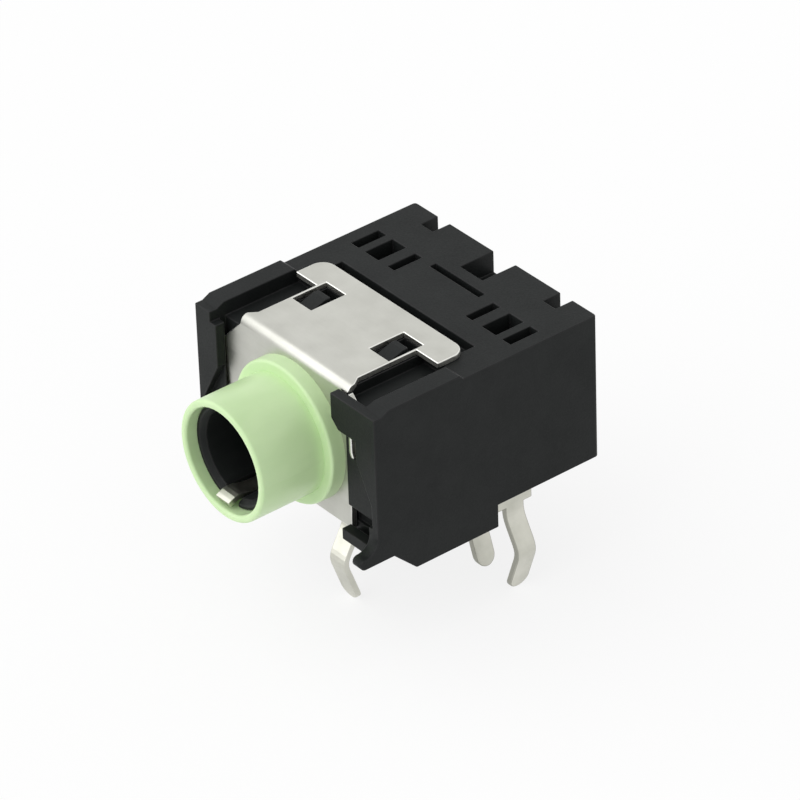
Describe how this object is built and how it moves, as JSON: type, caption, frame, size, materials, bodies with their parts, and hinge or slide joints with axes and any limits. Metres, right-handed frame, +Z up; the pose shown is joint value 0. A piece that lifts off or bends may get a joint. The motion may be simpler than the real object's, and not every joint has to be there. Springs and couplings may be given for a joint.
{
  "type": "pcb audio jack",
  "caption": "Right-angle through-hole phone jack for a 3.5 mm stereo plug: black housing, coloured front bushing, clipped metal shield and break contacts.",
  "frame": {"origin": "middle of the seat under the housing, on the upper face of the board", "axes": "+X to the right seen from the plug's side, +Y towards the back, +Z up from the board; the plug leaves along -Y"},
  "size_m": [0.0108, 0.0139, 0.0114],
  "materials": {
    "housing": "moulded, satin black",
    "bushing": "moulded, pale lime green",
    "shield": "plated sheet, satin",
    "contact": "tin plated, satin"
  },
  "bodies": {
    "root": {"housing": "housing", "bushing": "bushing", "shield": "shield", "sleeve_contact": "contact", "tip_spring": "contact", "tip_break_contact": "contact", "ring_spring": "contact", "ring_break_contact": "contact"}
  },
  "joints": []
}
